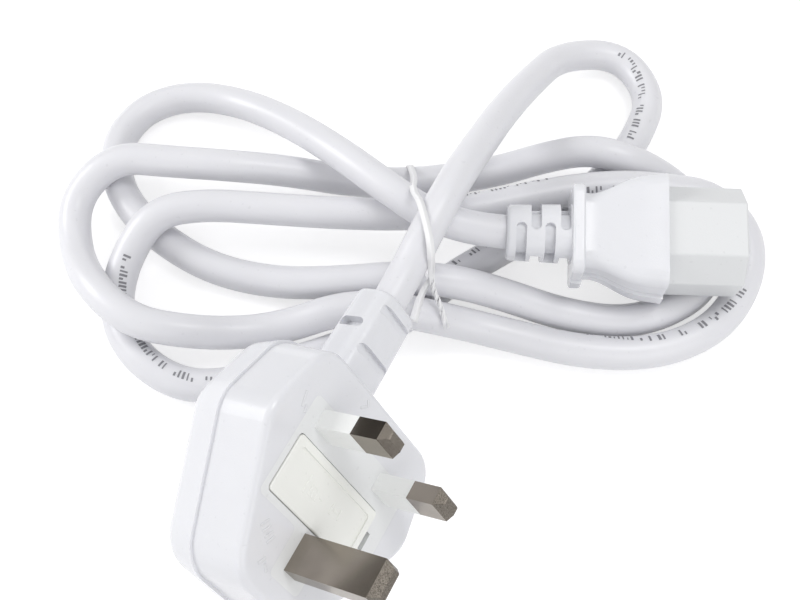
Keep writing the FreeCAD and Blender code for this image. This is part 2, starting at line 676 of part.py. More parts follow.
def connector_flange(growth):
    "Collar between the guard and the grip, wider by a growth."
    start = C_GUARD_LENGTH
    profile = block_section(FLANGE_HALF_WIDTH + growth, FLANGE_HALF_HEIGHT, FLANGE_CORNER_R, start)
    collar = Part.Face(profile).extrude(V(FLANGE_LENGTH, 0, 0))
    rims = edges_on(collar, "x", start) + edges_on(collar, "x", start + FLANGE_LENGTH)
    return collar.makeFillet(FLANGE_EDGE_R, rims)


def nose_block(inset, start, length):
    "Six sided block with its two upper corners cut off, smaller by an inset."
    half_y, half_z = NOSE_HALF_WIDTH, NOSE_HALF_HEIGHT
    outline = [
        (-half_y, -half_z), (half_y, -half_z), (half_y, half_z - NOSE_CHAMFER),
        (half_y - NOSE_CHAMFER, half_z), (-half_y + NOSE_CHAMFER, half_z), (-half_y, half_z - NOSE_CHAMFER),
    ]
    block = prism(grown(outline, -inset), [NOSE_CORNER_R] * len(outline), 0, length)
    block.Placement = FreeCAD.Placement(V(start, 0, 0), FreeCAD.Rotation(V(1, 1, 1), 120))
    return block


def contact(y, z):
    "Sprung socket for one pin of the inlet, with its crimp."
    front = NOSE_START + NOSE_LENGTH - MOUTH_LIP
    back = front - CONTACT_LENGTH
    half_y, half_z = CONTACT_WIDTH / 2, CONTACT_HEIGHT / 2
    shell = box(back, front, y - half_y, y + half_y, z - half_z, z + half_z)
    inner_y, inner_z = half_y - CONTACT_SHEET, half_z - CONTACT_SHEET
    hollow = box(back + CONTACT_SHEET, front + 1, y - inner_y, y + inner_y, z - inner_z, z + inner_z)
    tail = rod(CRIMP_R, CONTACT_TAIL, V(back, y, z), V(-1, 0, 0))
    tail = tail.cut(rod(CORE_R, CONTACT_TAIL, V(back, y, z), V(-1, 0, 0)))
    return shell.cut(hollow).fuse(tail).removeSplitter()


def contact_room(y, z):
    "Space that a contact and the pin that enters it need in the insert."
    front = NOSE_START + NOSE_LENGTH
    back = front - MOUTH_LIP - CONTACT_LENGTH
    half_y, half_z = CONTACT_WIDTH / 2, CONTACT_HEIGHT / 2
    room = box(back, front - MOUTH_LIP, y - half_y, y + half_y, z - half_z, z + half_z)
    mouth = box(
        front - MOUTH_LIP, front + 1,
        y - MOUTH_WIDTH / 2, y + MOUTH_WIDTH / 2, z - MOUTH_HEIGHT / 2, z + MOUTH_HEIGHT / 2)
    return room.fuse(mouth).fuse(rod(CRIMP_R, CONTACT_TAIL, V(back, y, z), V(-1, 0, 0)))


def connector_core(y, z, start_y, start_z):
    "Core from the end of the sheath to the back of a contact."
    back = NOSE_START + NOSE_LENGTH - MOUTH_LIP - CONTACT_LENGTH
    straight = back - CONTACT_TAIL - CRIMP_LEAD
    path = [V(CORD_GRIP, start_y, start_z), V(C_GUARD_LENGTH, start_y, start_z)]
    path += [V(straight, y, z), V(back, y, z)]
    return tube(path, CORE_R)[0]


def connector_pieces():
    "Every piece of the connector, in its own frame."
    half_pitch = CONTACT_PITCH / 2
    places = {
        "line": (-half_pitch, CONTACT_Z),
        "neutral": (half_pitch, CONTACT_Z),
        "earth": (0.0, EARTH_CONTACT_Z),
    }
    starts = {
        "line": (-CORE_SPREAD, -CORE_RISE),
        "neutral": (CORE_SPREAD, -CORE_RISE),
        "earth": (0.0, CORE_DROP),
    }
    contacts = {}
    cores = {}
    rooms = []
    for name, (y, z) in places.items():
        contacts["connector_" + name + "_contact"] = contact(y, z)
        cores["connector_" + name + "_core"] = connector_core(y, z, *starts[name])
        rooms.append(contact_room(y, z))
    insert = nose_block(0, NOSE_START, NOSE_LENGTH)
    insert = insert.makeFillet(NOSE_EDGE_R, edges_on(insert, "x", NOSE_START + NOSE_LENGTH))
    root = nose_block(NOSE_ROOT_INSET, NOSE_START - NOSE_ROOT, NOSE_ROOT)
    insert = insert.fuse(root)
    upper = connector_grip(0).fuse(connector_flange(0))
    lower = connector_grip(PARTING_LEDGE).fuse(connector_flange(PARTING_LEDGE))
    span = 2 * NOSE_START
    lower = lower.common(box(0, span, -span, span, -span, -PARTING_HEIGHT))
    body = upper.fuse(lower).fuse(connector_guard())
    body = body.cut(root).cut(rod(CORD_D / 2, CORD_GRIP + 1, V(CORD_GRIP, 0, 0), V(-1, 0, 0)))
    for room in rooms:
        insert = insert.cut(room)
    for piece in cores.values():
        insert = insert.cut(piece)
        body = body.cut(piece)
    pieces = {"connector_body": body, "connector_insert": insert}
    pieces.update(contacts)
    pieces.update(cores)
    return pieces


# Twist tie
def belt(circles, extra):
    "Closed wire round a ring of circles given anticlockwise, as tangents and arcs."
    spots = [(V(x, y, 0), r + extra) for x, y, r in circles]
    touches = []
    for (a, ra), (b, rb) in zip(spots, spots[1:] + spots[:1]):
        gap = b - a
        turn = math.atan2(gap.y, gap.x) - math.acos((ra - rb) / gap.Length)
        normal = V(math.cos(turn), math.sin(turn), 0)
        touches.append((a + normal * ra, b + normal * rb))
    edges = []
    for i, (centre, radius) in enumerate(spots):
        start, end = touches[i - 1][1], touches[i][0]
        outward = ((start - centre) + (end - centre)).normalize()
        edges.append(Part.Arc(start, centre + outward * radius, end).toShape())
        edges.append(Part.LineSegment(*touches[i]).toShape())
    return Part.Wire(edges)


def strip(points):
    "Flat strip along a path."
    wire = path_wire(points)[0]
    along = (points[1] - points[0]).normalize()
    section = Part.makePolygon([
        V(-TIE_WIDTH / 2, -TIE_T / 2, 0), V(TIE_WIDTH / 2, -TIE_T / 2, 0),
        V(TIE_WIDTH / 2, TIE_T / 2, 0), V(-TIE_WIDTH / 2, TIE_T / 2, 0), V(-TIE_WIDTH / 2, -TIE_T / 2, 0)])
    section.Placement = FreeCAD.Placement(points[0], FreeCAD.Rotation(V(0, 0, 1), along))
    return wire.makePipeShell([section], True, False)


def twist_tie():
    "Loop round the strands with its two ends twisted together."
    loop = Part.Face(belt(TIE_LOOP, TIE_T)).extrude(V(0, 0, TIE_WIDTH))
    loop = loop.cut(Part.Face(belt(TIE_LOOP, 0)).extrude(V(0, 0, TIE_WIDTH)))
    heading = (TIE_TOWARDS - TIE_FROM).normalize()
    side = heading.cross(V(0, 0, 1))
    axes = FreeCAD.Matrix(
        heading.x, 0, side.x, TIE_FROM.x - side.x * TIE_WIDTH / 2,
        heading.y, 0, side.y, TIE_FROM.y - side.y * TIE_WIDTH / 2,
        0, 1, 0, 0, 0, 0, 0, 1)
    loop.transformShape(axes)
    knot = tube([V(*p) for p in TIE_KNOT], TIE_KNOT_R)[0]
    tie = loop.fuse(knot)
    for tail in TIE_TAILS:
        tie = tie.fuse(strip([V(*p) for p in tail]))
    return tie


# Everything in its place
def placed(pieces, placement):
    "Copies of the pieces, moved to where they lie."
    moved = {}
    for name, shape in pieces.items():
        copy = shape.copy()
        copy.Placement = placement.multiply(copy.Placement)
        moved[name] = copy
    return moved


def plug_placement():
    "The plug on its side, pins forwards and up, with the edge of its back on the surface."
    lean = math.radians(LEAN)
    turn = FreeCAD.Matrix(
        -math.sin(lean), 0, math.cos(lean), PLUG_AT.x,
        0, -1, 0, PLUG_AT.y,
        math.cos(lean), 0, math.sin(lean), 0,
        0, 0, 0, 1)
    lying = FreeCAD.Placement(turn)
    rise = -placed({"body": body_shell()}, lying)["body"].optimalBoundingBox(False, False).ZMin
    return FreeCAD.Placement(V(0, 0, rise), FreeCAD.Rotation()).multiply(lying)


def connector_placement():
    "The connector, tilted about its length, on top of the cord."
    heading = FreeCAD.Rotation(V(0, 0, 1), CONNECTOR_HEADING)
    pitch = FreeCAD.Rotation(V(0, 1, 0), -CONNECTOR_PITCH)
    tilt = FreeCAD.Rotation(V(1, 0, 0), CONNECTOR_TILT)
    return FreeCAD.Placement(CONNECTOR_AT, heading.multiply(pitch).multiply(tilt))


def cord_points(plug, connector):
    "Middle of the cord from inside the plug's guard to inside the connector's."
    way_out = [V(0, GUARD_END_Y + CORD_GRIP, GUARD_Z), V(0, GUARD_END_Y - CORD_LEAD, GUARD_Z)]
    way_in = [V(-CORD_LEAD, 0, 0), V(CORD_GRIP, 0, 0)]
    start = [plug.multVec(p) for p in way_out]
    end = [connector.multVec(p) for p in way_in]
    return start + [V(*p) for p in CORD_ROUTE] + end


def main():
    "Build every piece, set the plug's middle over the origin, and write one file for each."
    plug, connector = plug_placement(), connector_placement()
    pieces = placed(plug_pieces(), plug)
    bounds = Part.Compound(list(pieces.values())).optimalBoundingBox(False, False)
    shift = V(-(bounds.XMin + bounds.XMax) / 2, -(bounds.YMin + bounds.YMax) / 2, -bounds.ZMin)
    pieces.update(placed(connector_pieces(), connector))
    route = cord_points(plug, connector)
    cord, length, radii = tube(route, CORD_D / 2)
    pieces["cord"] = cord
    pieces["twist_tie"] = twist_tie()
    print("shift", shift, "plug bounds", bounds)
    print("plug face", plug.multVec(V(0, 0, 0)), "connector", connector.multVec(V(0, 0, 0)))
    print("cord length", length, "volume ratio", cord.Volume / (length * math.pi * CORD_D ** 2 / 4))
    print("cord bend radii", [round(r, 1) for r in radii])
    os.makedirs("parts", exist_ok=True)
    for name, shape in pieces.items():
        shape.translate(shift)
        if not shape.isValid() or len(shape.Solids) != 1:
            print("look at", name, "valid", shape.isValid(), "solids", len(shape.Solids))
        shape.exportStep("parts/" + name + ".step")
        print(name, round(shape.Volume, 1))


main()
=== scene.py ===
# %% [markdown]
# A moulded mains plug with three pins lies on its side, on a white table, with its lead wound
# loosely behind it. The lead ends in the connector that goes into an appliance. The CAD model
# gives every rigid piece at its true size. This file adds what makes it look real: the smooth
# skin of the plastics, the nickel on the pins, the round cord with its printed line, and the
# thin tie that holds the loops together.

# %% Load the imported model
import json
import math

import bmesh
import bpy
from mathutils import Matrix, Vector
from mathutils.bvhtree import BVHTree


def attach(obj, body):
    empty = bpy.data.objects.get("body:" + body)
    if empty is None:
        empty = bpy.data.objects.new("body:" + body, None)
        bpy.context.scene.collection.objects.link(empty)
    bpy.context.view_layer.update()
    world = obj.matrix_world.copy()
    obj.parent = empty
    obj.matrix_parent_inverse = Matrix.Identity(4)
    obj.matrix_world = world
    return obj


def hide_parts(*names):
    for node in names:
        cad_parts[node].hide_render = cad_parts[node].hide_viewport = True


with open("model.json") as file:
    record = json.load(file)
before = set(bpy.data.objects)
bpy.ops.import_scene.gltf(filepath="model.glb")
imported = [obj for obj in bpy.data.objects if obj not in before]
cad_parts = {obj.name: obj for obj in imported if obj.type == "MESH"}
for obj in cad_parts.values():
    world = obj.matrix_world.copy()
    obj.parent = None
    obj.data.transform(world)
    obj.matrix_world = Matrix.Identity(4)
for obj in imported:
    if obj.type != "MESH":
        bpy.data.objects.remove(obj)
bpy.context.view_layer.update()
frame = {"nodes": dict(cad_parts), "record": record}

nodes = frame["nodes"]
MM = 0.001
print("CAD nodes:", len(nodes))


# %% [markdown]
# The camera comes first, because everything else is judged through it. Its place was first worked
# out from the three pins, whose sizes and spacing are set by a standard, so one picture is enough
# to say where it stood. Later it was fitted again, so that the plug and the cord kept their places
# in the picture. It is an ordinary lens, a quarter of a metre up, that looks down over the plug.

# %% Camera
CAMERA_AT = Vector((51.955, -73.300, 244.925)) * MM
CAMERA_TURN = (29.7805, -0.0873, 27.6208)
CAMERA_LENS = 51.6865

camera_data = bpy.data.cameras.new("camera")
camera_data.lens = CAMERA_LENS
camera_data.sensor_width = 36.0
camera_data.clip_start = 0.005
camera = bpy.data.objects.new("camera", camera_data)
camera.location = CAMERA_AT
camera.rotation_euler = [math.radians(a) for a in CAMERA_TURN]
bpy.context.collection.objects.link(camera)
bpy.context.scene.camera = camera
bpy.context.scene.view_settings.view_transform = "Standard"
print("camera height", round(CAMERA_AT.z, 3))


# %% [markdown]
# White on white is shown by its shadows. The world gives most of the light, evenly, and is full
# white only for the camera, for reflections and for clear pieces. A small lamp high behind the
# coil draws bright lines on the edges. Two more, at the right and at the left, shade the round
# pieces, and a weak one in front keeps the near sides open.
# Polished metal shows only what stands round it. Photographers put a black flag beside it, so that
# one side of it goes dark and its shape can be read. Here that is a dark card at the left that
# nothing but a reflection sees.

# %% Light and world
def area_lamp(name, place, aim, size, power):
    data = bpy.data.lights.new(name, "AREA")
    data.shape = "RECTANGLE"
    data.size, data.size_y = size
    data.energy = power
    lamp = bpy.data.objects.new(name, data)
    lamp.location = place
    lamp.rotation_euler = (Vector(aim) - Vector(place)).to_track_quat("-Z", "Y").to_euler()
    bpy.context.collection.objects.link(lamp)
    return lamp


area_lamp("key_lamp", (0.14, 0.175, 0.625), (0, 0.04, 0), (0.22, 0.22), 0.85)
area_lamp("fill_lamp", (0.50, -0.26, 0.40), (0, 0.03, 0), (0.50, 0.40), 0.85)
area_lamp("side_lamp", (-0.66, -0.10, 0.34), (0, 0.03, 0), (0.30, 0.30), 2.1)
area_lamp("front_lamp", (0.02, -0.60, 0.26), (0, 0.03, 0), (0.50, 0.30), 0.4)

world = bpy.data.worlds.new("studio")
bpy.context.scene.world = world
world.use_nodes = True
tree = world.node_tree
tree.nodes.clear()
WORLD_LIGHT = 0.64


def seen_directly(tree):
    "1 where a ray comes from the camera, a reflection or a clear piece, and 0 for plain light."
    path = tree.nodes.new("ShaderNodeLightPath")
    either = tree.nodes.new("ShaderNodeMath")
    either.operation = "ADD"
    tree.links.new(path.outputs["Is Camera Ray"], either.inputs[0])
    tree.links.new(path.outputs["Is Glossy Ray"], either.inputs[1])
    any_of = tree.nodes.new("ShaderNodeMath")
    any_of.operation = "ADD"
    any_of.use_clamp = True
    tree.links.new(either.outputs[0], any_of.inputs[0])
    tree.links.new(path.outputs["Is Transmission Ray"], any_of.inputs[1])
    return any_of.outputs[0]


lit = tree.nodes.new("ShaderNodeBackground")
lit.inputs["Color"].default_value = (1, 1, 1, 1)
lit.inputs["Strength"].default_value = WORLD_LIGHT
shown = tree.nodes.new("ShaderNodeBackground")
shown.inputs["Color"].default_value = (1, 1, 1, 1)
shown.inputs["Strength"].default_value = 1.0
blend = tree.nodes.new("ShaderNodeMixShader")
tree.links.new(seen_directly(tree), blend.inputs[0])
tree.links.new(lit.outputs[0], blend.inputs[1])
tree.links.new(shown.outputs[0], blend.inputs[2])
out = tree.nodes.new("ShaderNodeOutputWorld")
tree.links.new(blend.outputs[0], out.inputs[0])


# %% [markdown]
# The table is a plain white sheet. The camera sees a mid grey paint with a glow added, which
# together reach the white of the page but keep the soft shadow where the cord and the plug touch
# it. For plain light it is a paler paint, which throws light back up under the pieces.

# %% Table
FLOOR_HALF = 2.0
SEEN_PAINT = (0.52, 0.52, 0.53, 1)
SEEN_GLOW = 0.64
BOUNCE_PAINT = (0.84, 0.84, 0.85, 1)

floor_mesh = bpy.data.meshes.new("floor")
corners = [(x * FLOOR_HALF, y * FLOOR_HALF, 0) for x, y in ((-1, -1), (1, -1), (1, 1), (-1, 1))]
floor_mesh.from_pydata(corners, [], [(0, 1, 2, 3)])
floor = bpy.data.objects.new("floor", floor_mesh)
bpy.context.collection.objects.link(floor)
white = bpy.data.materials.new("table_white")
white.use_nodes = True
tree = white.node_tree
tree.nodes.clear()
paint = tree.nodes.new("ShaderNodeBsdfDiffuse")
paint.inputs["Color"].default_value = SEEN_PAINT
glow = tree.nodes.new("ShaderNodeEmission")
glow.inputs["Strength"].default_value = SEEN_GLOW
both = tree.nodes.new("ShaderNodeAddShader")
tree.links.new(paint.outputs[0], both.inputs[0])
tree.links.new(glow.outputs[0], both.inputs[1])
pick = tree.nodes.new("ShaderNodeMixShader")
bounce = tree.nodes.new("ShaderNodeBsdfDiffuse")
bounce.inputs["Color"].default_value = BOUNCE_PAINT
tree.links.new(seen_directly(tree), pick.inputs[0])
tree.links.new(bounce.outputs[0], pick.inputs[1])
tree.links.new(both.outputs[0], pick.inputs[2])
out = tree.nodes.new("ShaderNodeOutputMaterial")
tree.links.new(pick.outputs[0], out.inputs[0])
floor_mesh.materials.append(white)


# %% Dark card for the reflections in the pins
card_mesh = bpy.data.meshes.new("flag_card")
corners = [(-0.46, -0.16, 0.03), (-0.46, 0.50, 0.03), (-0.52, 0.50, 0.40), (-0.52, -0.16, 0.40)]
card_mesh.from_pydata(corners, [], [(0, 1, 2, 3)])
card = bpy.data.objects.new("flag_card", card_mesh)
bpy.context.collection.objects.link(card)
card.visible_camera = card.visible_diffuse = card.visible_shadow = card.visible_transmission = False
dark = bpy.data.materials.new("flag_black")
dark.use_nodes = True
dark.node_tree.nodes["Principled BSDF"].inputs["Base Color"].default_value = (0.05, 0.045, 0.04, 1)
dark.node_tree.nodes["Principled BSDF"].inputs["Roughness"].default_value = 1.0
card_mesh.materials.append(dark)


# %% [markdown]
# Every plastic here came out of a polished mould, so its surface is smooth but never quite even:
# the gloss drifts over a few millimetres, and there is a very fine pebble that only shows in a
# highlight. One node group makes that drift and that pebble, and each plastic sets how strong
# they are.

# %% Shared group for moulded skin
def group_socket(group, name, kind, value=None, outgoing=False):
    socket = group.interface.new_socket(name=name, in_out="OUTPUT" if outgoing else "INPUT", socket_type=kind)
    if value is not None:
        socket.default_value = value
    return socket


def moulded_skin_group():
    group = bpy.data.node_groups.new("moulded_skin", "ShaderNodeTree")
    group_socket(group, "Base", "NodeSocketColor", (0.8, 0.8, 0.8, 1))
    group_socket(group, "Drift size mm", "NodeSocketFloat", 9.0)
    group_socket(group, "Drift", "NodeSocketFloat", 0.04)
    group_socket(group, "Pebble size mm", "NodeSocketFloat", 0.25)
    group_socket(group, "Gloss", "NodeSocketFloat", 0.3)
    group_socket(group, "Gloss drift", "NodeSocketFloat", 0.08)
    group_socket(group, "Speck size mm", "NodeSocketFloat", 0.9)
    group_socket(group, "Specks", "NodeSocketFloat", 0.06)
    group_socket(group, "Colour", "NodeSocketColor", outgoing=True)
    group_socket(group, "Roughness", "NodeSocketFloat", outgoing=True)
    group_socket(group, "Height", "NodeSocketFloat", outgoing=True)
    n, link = group.nodes, group.links.new
    inputs = n.new("NodeGroupInput")
    outputs = n.new("NodeGroupOutput")
    place = n.new("ShaderNodeTexCoord")

    def noise(size_socket, detail):
        "Noise whose features are about the given number of millimetres."
        scale = n.new("ShaderNodeMath")
        scale.operation = "DIVIDE"
        scale.inputs[0].default_value = 1000.0
        link(size_socket, scale.inputs[1])
        texture = n.new("ShaderNodeTexNoise")
        texture.inputs["Detail"].default_value = detail
        link(place.outputs["Object"], texture.inputs["Vector"])
        link(scale.outputs[0], texture.inputs["Scale"])
        return texture.outputs["Fac"]

    drift = noise(inputs.outputs["Drift size mm"], 3)
    pebble = noise(inputs.outputs["Pebble size mm"], 2)
    centred = n.new("ShaderNodeMath")
    centred.operation = "SUBTRACT"
    link(drift, centred.inputs[0])
    centred.inputs[1].default_value = 0.5
    shade = n.new("ShaderNodeMath")
    shade.operation = "MULTIPLY_ADD"
    link(centred.outputs[0], shade.inputs[0])
    link(inputs.outputs["Drift"], shade.inputs[1])
    shade.inputs[2].default_value = 1.0
    spot = n.new("ShaderNodeMapRange")
    spot.inputs["From Min"].default_value = 0.77
    spot.inputs["From Max"].default_value = 0.84
    link(noise(inputs.outputs["Speck size mm"], 0), spot.inputs["Value"])
    less = n.new("ShaderNodeMath")
    less.operation = "MULTIPLY"
    link(spot.outputs[0], less.inputs[0])
    link(inputs.outputs["Specks"], less.inputs[1])
    dusted = n.new("ShaderNodeMath")
    dusted.operation = "SUBTRACT"
    link(shade.outputs[0], dusted.inputs[0])
    link(less.outputs[0], dusted.inputs[1])
    tint = n.new("ShaderNodeVectorMath")
    tint.operation = "SCALE"
    link(inputs.outputs["Base"], tint.inputs[0])
    link(dusted.outputs[0], tint.inputs["Scale"])
    link(tint.outputs[0], outputs.inputs["Colour"])
    gloss = n.new("ShaderNodeMath")
    gloss.operation = "MULTIPLY_ADD"
    link(centred.outputs[0], gloss.inputs[0])
    link(inputs.outputs["Gloss drift"], gloss.inputs[1])
    link(inputs.outputs["Gloss"], gloss.inputs[2])
    link(gloss.outputs[0], outputs.inputs["Roughness"])
    link(pebble, outputs.inputs["Height"])
    return group


moulded_skin = moulded_skin_group()


def plastic(name, colour, gloss, bump=0.02, pebble=0.25, drift=0.04, soft=0.0):
    "A moulded plastic: its colour, its gloss, and how deep its fine pebble is in millimetres."
    material = bpy.data.materials.new(name)
    material.use_nodes = True
    tree = material.node_tree
    shader = tree.nodes["Principled BSDF"]
    skin = tree.nodes.new("ShaderNodeGroup")
    skin.node_tree = moulded_skin
    skin.inputs["Base"].default_value = (*colour, 1)
    skin.inputs["Gloss"].default_value = gloss
    skin.inputs["Drift"].default_value = drift
    skin.inputs["Pebble size mm"].default_value = pebble
    rise = tree.nodes.new("ShaderNodeBump")
    rise.inputs["Strength"].default_value = 1.0
    rise.inputs["Distance"].default_value = bump * MM
    tree.links.new(skin.outputs["Colour"], shader.inputs["Base Color"])
    tree.links.new(skin.outputs["Roughness"], shader.inputs["Roughness"])
    tree.links.new(skin.outputs["Height"], rise.inputs["Height"])
    tree.links.new(rise.outputs[0], shader.inputs["Normal"])
    shader.inputs["IOR"].default_value = 1.5
    if soft:
        shader.inputs["Subsurface Weight"].default_value = soft
        shader.inputs["Subsurface Radius"].default_value = (0.9, 0.9, 1.0)
        shader.inputs["Subsurface Scale"].default_value = 0.0012
    return material


# %% [markdown]
# The pins are brass with a nickel plate. They were cut from drawn bar and tumbled, so fine lines
# run along them, and the plate looks warm and a little dark where it mirrors the room.

# %% Metals
PIN_LEAN = math.radians(32.0)


def plated(name, colour, roughness, grain_mm, stretch, bump, cut=0.0):
    "A plated or bright metal with a fine drawn grain, and with speckled ends where cut is over 0."
    material = bpy.data.materials.new(name)
    material.use_nodes = True
    tree = material.node_tree
    n, link = tree.nodes, tree.links.new
    shader = n["Principled BSDF"]
    shader.inputs["Metallic"].default_value = 1.0
    place = n.new("ShaderNodeTexCoord")
    turn = n.new("ShaderNodeMapping")
    turn.vector_type = "TEXTURE"
    turn.inputs["Rotation"].default_value = (0, -PIN_LEAN, 0)
    turn.inputs["Scale"].default_value = (stretch, 1, 1)
    link(place.outputs["Object"], turn.inputs["Vector"])
    lines = n.new("ShaderNodeTexNoise")
    lines.inputs["Scale"].default_value = 1000.0 / grain_mm
    lines.inputs["Detail"].default_value = 4
    link(turn.outputs[0], lines.inputs["Vector"])
    cloud = n.new("ShaderNodeTexNoise")
    cloud.inputs["Scale"].default_value = 260.0
    cloud.inputs["Detail"].default_value = 3
    link(place.outputs["Object"], cloud.inputs["Vector"])
    shade = n.new("ShaderNodeMapRange")
    shade.inputs["To Min"].default_value = 0.88
    shade.inputs["To Max"].default_value = 1.08
    link(cloud.outputs["Fac"], shade.inputs["Value"])
    surface = n.new("ShaderNodeNewGeometry")
    facing = n.new("ShaderNodeVectorMath")
    facing.operation = "DOT_PRODUCT"
    facing.inputs[1].default_value = (math.cos(PIN_LEAN), 0, math.sin(PIN_LEAN))
    link(surface.outputs["Normal"], facing.inputs[0])
    at_end = n.new("ShaderNodeMapRange")
    at_end.inputs["From Min"].default_value = 0.30
    at_end.inputs["From Max"].default_value = 0.42
    at_end.inputs["To Max"].default_value = cut
    link(facing.outputs["Value"], at_end.inputs["Value"])
    grit = n.new("ShaderNodeTexNoise")
    grit.inputs["Scale"].default_value = 1000.0 / 0.16
    grit.inputs["Detail"].default_value = 2
    link(place.outputs["Object"], grit.inputs["Vector"])
    speckle = n.new("ShaderNodeMapRange")
    speckle.inputs["From Min"].default_value = 0.35
    speckle.inputs["From Max"].default_value = 0.62
    speckle.inputs["To Min"].default_value = 0.30
    speckle.inputs["To Max"].default_value = 0.85
    link(grit.outputs["Fac"], speckle.inputs["Value"])
    darker = n.new("ShaderNodeMix")
    darker.data_type = "FLOAT"
    darker.inputs["A"].default_value = 1.0
    link(at_end.outputs[0], darker.inputs["Factor"])
    link(speckle.outputs[0], darker.inputs["B"])
    level = n.new("ShaderNodeMath")
    level.operation = "MULTIPLY"
    link(shade.outputs[0], level.inputs[0])
    link(darker.outputs[0], level.inputs[1])
    tint = n.new("ShaderNodeVectorMath")
    tint.operation = "SCALE"
    tint.inputs[0].default_value = colour
    link(level.outputs[0], tint.inputs["Scale"])
    link(tint.outputs[0], shader.inputs["Base Color"])
    rough = n.new("ShaderNodeMapRange")
    rough.inputs["To Min"].default_value = roughness * 0.85
    rough.inputs["To Max"].default_value = roughness * 1.15
    link(lines.outputs["Fac"], rough.inputs["Value"])
    duller = n.new("ShaderNodeMath")
    duller.operation = "MULTIPLY_ADD"
    link(at_end.outputs[0], duller.inputs[0])
    duller.inputs[1].default_value = 0.22
    link(rough.outputs[0], duller.inputs[2])
    link(duller.outputs[0], shader.inputs["Roughness"])
    rise = n.new("ShaderNodeBump")
    rise.inputs["Strength"].default_value = 1.0
    rise.inputs["Distance"].default_value = bump * MM
    link(lines.outputs["Fac"], rise.inputs["Height"])
    link(rise.outputs[0], shader.inputs["Normal"])
    return material


body_white = plastic("body_white", (0.745, 0.75, 0.78), 0.18, soft=0.15)
cord_white = plastic("cord_white", (0.75, 0.75, 0.78), 0.32, soft=0.2)
carrier_ivory = plastic("carrier_ivory", (0.765, 0.775, 0.78), 0.34)
lid_ivory = plastic("lid_ivory", (0.85, 0.855, 0.82), 0.34)
insert_grey = plastic("insert_grey", (0.70, 0.71, 0.72), 0.42, bump=0.03)
sleeve_white = plastic("sleeve_white", (0.86, 0.87, 0.86), 0.33)
tie_white = plastic("tie_white", (0.90, 0.90, 0.91), 0.45)
ceramic_white = plastic("ceramic_white", (0.82, 0.80, 0.75), 0.28)
core_brown = plastic("core_brown", (0.18, 0.07, 0.03), 0.4)
core_blue = plastic("core_blue", (0.02, 0.12, 0.5), 0.4)
core_green = plastic("core_green", (0.12, 0.42, 0.06), 0.4)
nickel = plated("nickel", (0.28, 0.25, 0.215), 0.22, 0.12, 14, 0.0012, cut=1.0)
print_grey = plastic("print_grey", (0.24, 0.24, 0.26), 0.6, bump=0.0)
bright_brass = plated("bright_brass", (0.80, 0.62, 0.30), 0.25, 0.15, 6, 0.004)
cap_nickel = plated("cap_nickel", (0.68, 0.66, 0.62), 0.2, 0.15, 4, 0.003)

FINISH = {
    "body_plastic": body_white, "carrier_plastic": carrier_ivory, "cord_jacket": cord_white,
    "insert_plastic": insert_grey, "sleeve_plastic": sleeve_white, "pin_metal": nickel,
    "sheet_metal": bright_brass, "cap_metal": cap_nickel, "ceramic": ceramic_white,
    "core_line": core_brown, "core_neutral": core_blue, "core_earth": core_green,
    "tie_plastic": tie_white,
}
for part in frame["record"]["subparts"]:
    mesh = nodes[part["node"]].data
    mesh.materials.clear()
    mesh.materials.append(FINISH[part["material_slot"]])
nodes["fuse_carrier"].data.materials[0] = lid_ivory
print("finishes:", len(FINISH))


# %% [markdown]
# The cord is a fixed length of round cable, so it is drawn as one smooth line with a round
# section. The points are places that the middle of the cord passes near. They repeat the route
# of the CAD model, with two more at each end, inside the guards. A NURBS line that these points
# pull along bends evenly, as a cable does, and rises and falls where one loop lies over another.

